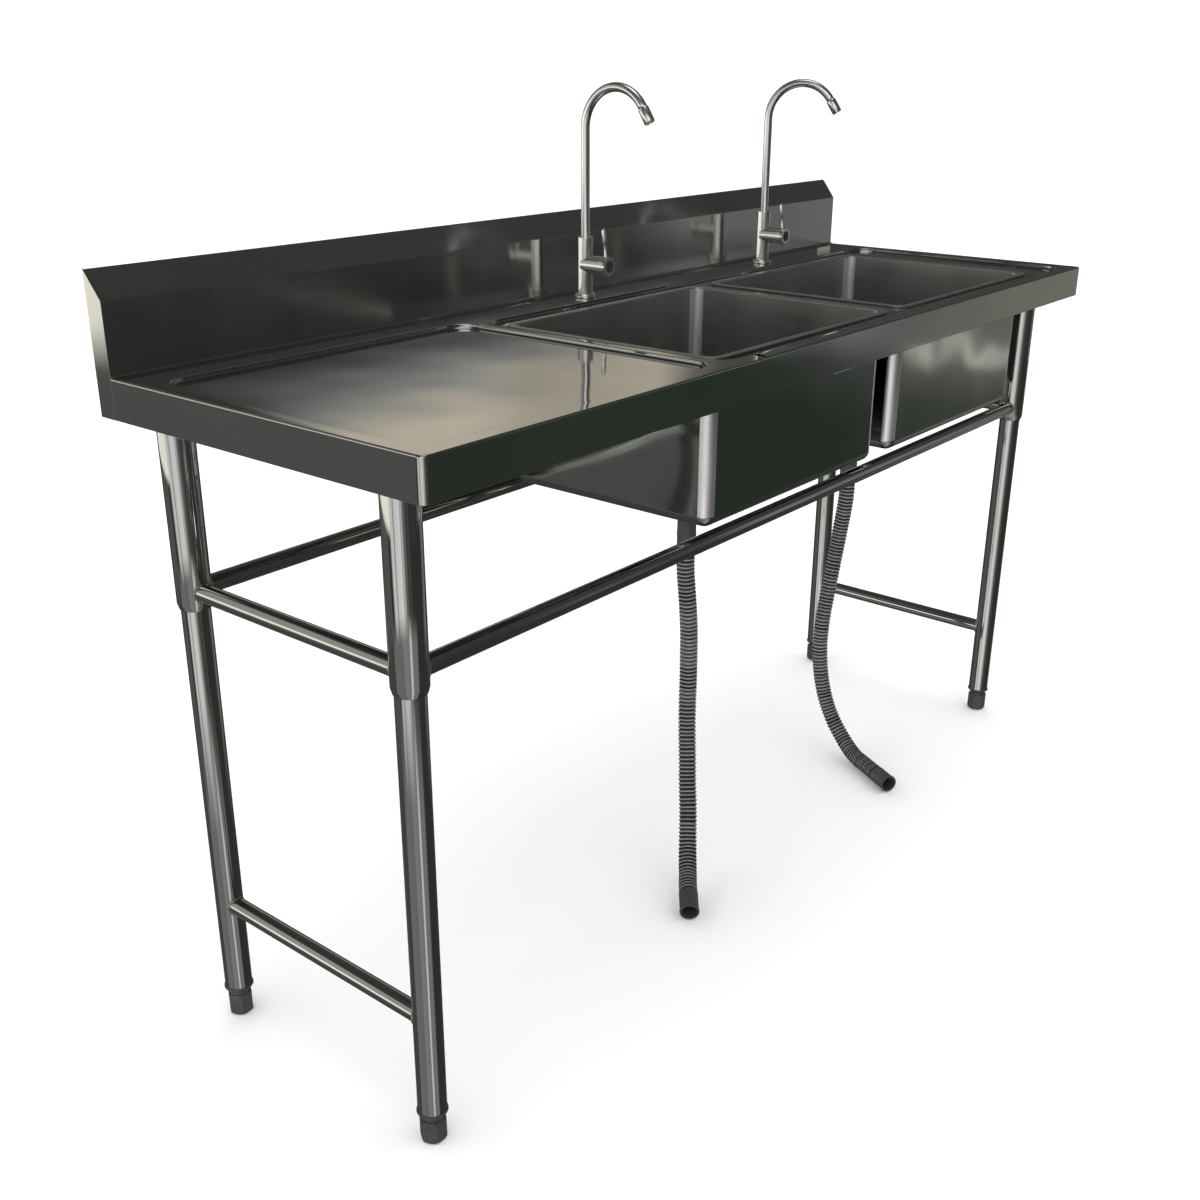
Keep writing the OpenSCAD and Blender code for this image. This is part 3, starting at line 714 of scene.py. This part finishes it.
EDGE_WIDTH = 0.5 * MM
EDGE_SEGMENTS = 2
EDGE_FOLD = 40
SAME_POINT = 0.01 * MM
WELD_R = 1.6 * MM
WELD_RIPPLE = 0.25 * MM
WELD_RIPPLE_PITCH = 0.6 * MM
WELD_STEPS = 48
WELD_SIDES = 10
# How far outside the rail's and the post's surface the middle of a weld lies
WELD_OUT = 0.4 * MM
SOFTENED = ("tap_", "foot_", "splash_end", "leg_sleeve", "leg_screws", "waste_nut")
PILLAR_R = 13 * MM
VALVE_ABOVE_BODY_FOOT = 111 * MM
ROD_SOFT_EDGE = 0.7 * MM
# A turned end closes to this radius, which leaves no pointed faces in its middle
ROD_AXIS = 0.2 * MM


def soften(obj):
    """Rounds a CAD node's edges a little, on the render only."""
    weld = obj.modifiers.new("weld", "WELD")
    weld.merge_threshold = SAME_POINT
    mod = obj.modifiers.new("edges", "BEVEL")
    mod.width = EDGE_WIDTH
    mod.segments = EDGE_SEGMENTS
    mod.limit_method = "ANGLE"
    mod.angle_limit = math.radians(EDGE_FOLD)
    mod.use_clamp_overlap = True


def weld_bead(name, centre, along, rail_r, post_r, mats):
    """A thin bead of weld around the end of a rail where it meets a post."""
    across = Vector((-along.y, along.x, 0))
    up = Vector((0, 0, 1))
    path = []
    for i in range(WELD_STEPS + 1):
        a = 2 * math.pi * i / WELD_STEPS
        side, height = (rail_r + WELD_OUT) * math.cos(a), (rail_r + WELD_OUT) * math.sin(a)
        out = math.sqrt((post_r + WELD_OUT) ** 2 - side**2)
        path.append(centre + along * out + across * side + up * height)

    def ripple(run):
        return WELD_R + WELD_RIPPLE * math.sin(run / WELD_RIPPLE_PITCH)

    place(tube_along(name, path, ripple, mats["weld"], WELD_SIDES), "tube_steel")


def add_welds(mats):
    """A weld at both ends of each rail."""
    for rail in sorted(n for n in nodes if n.startswith("rail_")):
        low, high = (Vector(c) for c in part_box(rail))
        size = high - low
        post = "leg_tube_front_left" if "low" in rail else "leg_sleeve_front_left"
        post_low, post_high = (Vector(c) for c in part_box(post))
        post_r = (post_high.x - post_low.x) / 2
        post_at = (post_low + post_high) / 2
        axis = 0 if size.x > size.y else 1
        for end, sign in (("a", -1), ("b", 1)):
            centre = (low + high) / 2
            centre[axis] = sign * abs(post_at[axis])
            along = Vector((0, 0, 0))
            along[axis] = -sign
            weld_bead(f"weld_{rail}_{end}", centre, along, size.z / 2, post_r, mats)


def rod_profile(r, start, end):
    """The profile of a rod whose far end has a softened edge."""
    soft = ROD_SOFT_EDGE
    return [(ROD_AXIS, start), (r, start), (r, end - soft), (r - soft, end), (ROD_AXIS, end)]


def add_tap_body(side, mats):
    """The pillar and the valve barrel of a tap."""
    (x0, y0, z0), (x1, y1, body_top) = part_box(f"tap_body_{side}")
    base_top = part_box(f"tap_base_{side}")[1][2]
    cx, cy = (x0 + x1) / 2, y1 - PILLAR_R
    upright = Matrix.Translation((cx, cy, 0))
    pillar = rod_profile(PILLAR_R, base_top, body_top)
    pillar = lathe(f"tap_{side}_pillar", pillar, mats["chrome"], upright)
    place(pillar, "chrome", f"tap_body_{side}")
    forwards = frame_along(Vector((cx, cy, z0 + VALVE_ABOVE_BODY_FOOT)), (0, -1, 0))
    barrel = rod_profile((x1 - x0) / 2, 0, cy - y0)
    place(lathe(f"tap_{side}_barrel", barrel, mats["chrome"], forwards), "chrome")


# ---- Room that metal mirrors, light and floor ---------------------------

# What everything but a mirror reflection sees all round
DAYLIGHT = (1.25, 1.25, 1.25)
CEILING = (1.7, 1.7, 1.67)
SUN_STRENGTH = 0.45
SUN_SPREAD = 70
FLOOR_HALF = 60.0
FLOOR_DARK, FLOOR_LIGHT = (0.95, 0.95, 0.95), (0.97, 0.97, 0.97)
FLOOR_ROUGHNESS = 0.9


def part_of_turn(degrees):
    """A heading as a part of a full turn. Heading 0 looks along +Y, and it grows clockwise."""
    return ((degrees + 180) % 360) / 360


class Room:
    """A world of colors by heading and by height, laid over each other one by one.

    Height is the Z of the direction looked in: -1 straight down, 0 level, 1 straight up.
    """

    def __init__(self, tree):
        self.tree = tree
        direction = tree.nodes.new("ShaderNodeTexCoord").outputs["Generated"]
        split = tree.nodes.new("ShaderNodeSeparateXYZ")
        tree.links.new(direction, split.inputs[0])
        x, y, self.height = split.outputs
        turn = self.math("DIVIDE", self.math("ARCTAN2", x, y), 2 * math.pi)
        self.heading = self.math("ADD", turn, 0.5)
        self.color = None

    def math(self, kind, a, b, clamp=False):
        node = self.tree.nodes.new("ShaderNodeMath")
        node.operation = kind
        node.use_clamp = clamp
        for socket, value in zip(node.inputs, (a, b)):
            if isinstance(value, (int, float)):
                socket.default_value = value
            else:
                self.tree.links.new(value, socket)
        return node.outputs[0]

    def mix(self, factor, a, b):
        node = self.tree.nodes.new("ShaderNodeMix")
        node.data_type = "RGBA"
        self.tree.links.new(factor, node.inputs["Factor"])
        for socket, value in ((node.inputs[MIX_A], a), (node.inputs[MIX_B], b)):
            if isinstance(value, tuple):
                socket.default_value = (*value, 1)
            else:
                self.tree.links.new(value, socket)
        return node.outputs[MIX_RESULT]

    def ramp(self, value, stops):
        """A color by the value, from (position, brightness or color) stops."""
        node = self.tree.nodes.new("ShaderNodeValToRGB")
        elements = node.color_ramp.elements
        while len(elements) < len(stops):
            elements.new(0.5)
        for element, (where, color) in zip(elements, stops):
            element.position = where
            element.color = (*(color if isinstance(color, tuple) else (color,) * 3), 1)
        self.tree.links.new(value, node.inputs[0])
        return node.outputs["Color"]

    def around(self, *stops):
        """Brightness or color by heading, in degrees."""
        turned = [(part_of_turn(degrees), color) for degrees, color in stops]
        return self.ramp(self.heading, sorted(turned, key=lambda stop: stop[0]))

    def above(self, start, steep, value=None):
        """A mask that grows from 0 to 1 above that height, or above that start of a value."""
        over = self.math("SUBTRACT", self.height if value is None else value, start)
        return self.math("MULTIPLY", over, steep, clamp=True)

    def below(self, end, steep):
        """A mask that grows from 0 to 1 below that height."""
        under = self.math("SUBTRACT", end, self.height)
        return self.math("MULTIPLY", under, steep, clamp=True)

    def past(self, degrees, steep):
        """A mask that grows from 0 to 1 clockwise of that heading."""
        return self.above(part_of_turn(degrees), steep, self.heading)

    def all_of(self, first, *masks):
        """A mask that is 1 only where all of these are."""
        for mask in masks:
            first = self.math("MULTIPLY", first, mask)
        return first

    def lay(self, mask, color):
        """Lays a color over what is there, where the mask is."""
        self.color = self.mix(mask, self.color, color)


def room_walls(room):
    """Dark walls with a bright strip, and their darker foot on the right."""
    room.color = room.around(
        (-178, 0.05), (-170, 0.11), (-160, 0.07), (-152, 0.2), (-143, 0.24), (-140, 0.6),
        (-134, 0.9), (-131, 0.4), (-128, 1.15), (-112, 1.1), (-98, 0.95), (-95.5, 0.45),
        (-92, 0.5), (-89, 1.05), (-77, 0.95), (-72, 0.3), (-68, 0.05), (-60, 0.05),
        (-54, 0.14), (-14, 0.14), (0, 0.06), (40, 0.05), (75, 0.05), (98, 0.26),
        (112, (0.28, 0.275, 0.24)), (116.5, 0.2), (119.5, 0.1), (122, (0.04, 0.052, 0.042)),
        (136, (0.036, 0.048, 0.036)), (150, (0.055, 0.062, 0.056)),
    )
    foot = room.all_of(room.below(-0.185, steep=20.0), room.past(100, steep=20.0))
    room.lay(foot, (0.042, 0.056, 0.043))


def room_floor(room):
    """The floor in front, with the light of a narrow door on it."""
    floor = room.around(
        (-178, 0.28), (-162, 0.3), (-159, 0.9), (-149, 0.9), (-146, 0.3), (-140, 0.32),
        (-112, 0.36), (-109, 0.24), (-55, 0.26), (-48, 0.09), (-20, 0.09), (100, 0.05),
        (160, 0.05), (172, 0.3),
    )
    room.lay(room.below(-0.42, steep=12.0), floor)


def room_lamp_edge(room):
    """The edge of a lamp, which the right bowl's front mirrors."""
    across = room.around((108, 0.0), (110, 1.0), (115.5, 1.0), (116.5, 0.0))
    lamp = room.all_of(room.above(-0.2, steep=200.0), room.below(-0.186, steep=200.0), across)
    room.lay(lamp, (0.95, 0.93, 0.84))


def room_upper_walls(room):
    room.lay(room.above(0.1, steep=5.0), (0.06, 0.065, 0.064))


def room_streaks(room):
    """Upright streaks on the right, which only the splashback mirrors."""
    streaks = room.around(
        (118, 0.27), (121, 0.24), (122.4, 0.22), (122.8, 0.18), (124.2, 0.3), (126, 0.34),
        (127.2, 0.08), (131, 0.1), (134, 0.14), (137, 0.05), (150, 0.06),
    )
    from_low = room.above(-0.2, steep=40.0)
    on_right = room.past(117, steep=400.0)
    to_high = room.below(0.3, steep=10.0)
    room.lay(room.all_of(from_low, on_right, to_high), streaks)


def room_wall_behind(room):
    """A wall that turns from gray to warm upwards, sooner the further right it is."""
    lean, start = 1.44, 1.058
    leaning_height = room.math("ADD", room.height, room.math("MULTIPLY", room.heading, lean))
    wall = room.ramp(room.above(start, steep=10.0, value=leaning_height), (
        (0.1, 0.045), (0.28, 0.085), (0.4, 0.17), (0.5, (0.26, 0.27, 0.267)),
        (0.59, (0.4, 0.42, 0.4)), (0.63, (0.5, 0.47, 0.4)), (0.8, (0.75, 0.68, 0.555)),
    ))
    across = room.around(
        (-60, 0.0), (20, 0.7), (38, 1.0), (45.5, 1.0), (47.5, 0.72), (50, 0.66),
        (53.5, 0.75), (55.2, 0.06), (80, 0.0),
    )
    room.lay(room.all_of(room.above(0.12, steep=30.0), room.below(0.4, steep=10.0), across), wall)


def room_pale_wall(room):
    """A pale wall on the left at eye level, which lights the taps' backs in the splashback."""
    across = room.around((-78, 0.0), (-72, 1.0), (-12, 1.0), (-5, 0.0))
    wall = room.all_of(room.above(-0.2, steep=30.0), room.below(0.15, steep=10.0), across)
    room.lay(wall, (1.5, 1.45, 1.3))


def room_soft_lamp(room):
    """A soft lamp behind the camera."""
    across = room.around((-158, 0.0), (-150, 1.0), (-112, 1.0), (-104, 0.0))
    lamp = room.all_of(room.above(0.18, steep=10.0), room.below(0.65, steep=10.0), across)
    room.lay(lamp, (1.4, 1.4, 1.38))


def room_window(room):
    """A window high on the left, which the end rails mirror."""
    across = room.around((-64, 0.0), (-56, 1.0), (-20, 1.0), (-12, 0.0))
    window = room.all_of(room.above(0.1, steep=30.0), room.below(0.62, steep=30.0), across)
    room.lay(window, (0.46, 0.46, 0.45))


def room_ceiling(room):
    room.lay(room.above(0.92, steep=15.0), CEILING)


def add_world():
    """Even daylight, and a room with light and dark parts that only mirror reflections see."""
    world = bpy.data.worlds.new("studio")
    bpy.context.scene.world = world
    world.use_nodes = True
    tree = world.node_tree
    room = Room(tree)
    for part in (
        room_walls, room_floor, room_lamp_edge, room_upper_walls, room_streaks,
        room_wall_behind, room_pale_wall, room_soft_lamp, room_window, room_ceiling,
    ):
        part(room)
    glossy = tree.nodes.new("ShaderNodeLightPath").outputs["Is Glossy Ray"]
    seen = room.mix(glossy, DAYLIGHT, room.color)
    tree.links.new(seen, tree.nodes["Background"].inputs["Color"])


def add_soft_top_light():
    sun = bpy.data.lights.new("soft_top_light", "SUN")
    sun.energy = SUN_STRENGTH
    sun.angle = math.radians(SUN_SPREAD)
    lamp = bpy.data.objects.new("soft_top_light", sun)
    lamp.visible_glossy = False
    bpy.context.scene.collection.objects.link(lamp)


def add_floor():
    """A plain pale floor, which the steel doesn't mirror."""
    m = Nodes("floor")
    tone = m.noise(EVEN, scale=0.8)
    m.feed("Base Color", m.two_colors(tone, FLOOR_DARK, FLOOR_LIGHT))
    m.set("Roughness", FLOOR_ROUGHNESS)
    skin = Skin()
    corners = ((-1, -1), (1, -1), (1, 1), (-1, 1))
    skin.bm.faces.new(skin.ring([Vector((x, y, 0)) * FLOOR_HALF for x, y in corners]))
    floor = make("floor", skin.bm, m.material)
    floor.visible_glossy = False


# ---- Scene --------------------------------------------------------------

def paint_cad_nodes(mats):
    """Every CAD node gets its slot's material, and the rails get their own."""
    for part in frame["record"]["subparts"]:
        node = part["node"]
        slot = "rail_steel" if node.startswith("rail_") else part["material_slot"]
        slots = nodes[node].data.materials
        slots.clear()
        slots.append(mats[slot])


def main():
    bpy.context.scene.view_settings.view_transform = "Standard"
    add_camera()
    mats = make_materials()
    for side in SIDES:
        add_hose(side, mats)
    paint_cad_nodes(mats)
    add_worktop(mats)
    add_splashback(mats)
    for bowl in BOWLS:
        add_bowl(bowl, mats)
    add_welds(mats)
    for side in SIDES:
        add_tap_body(side, mats)
    for name in sorted(nodes):
        if name.startswith(SOFTENED):
            soften(nodes[name])
    add_world()
    add_soft_top_light()
    add_floor()


main()
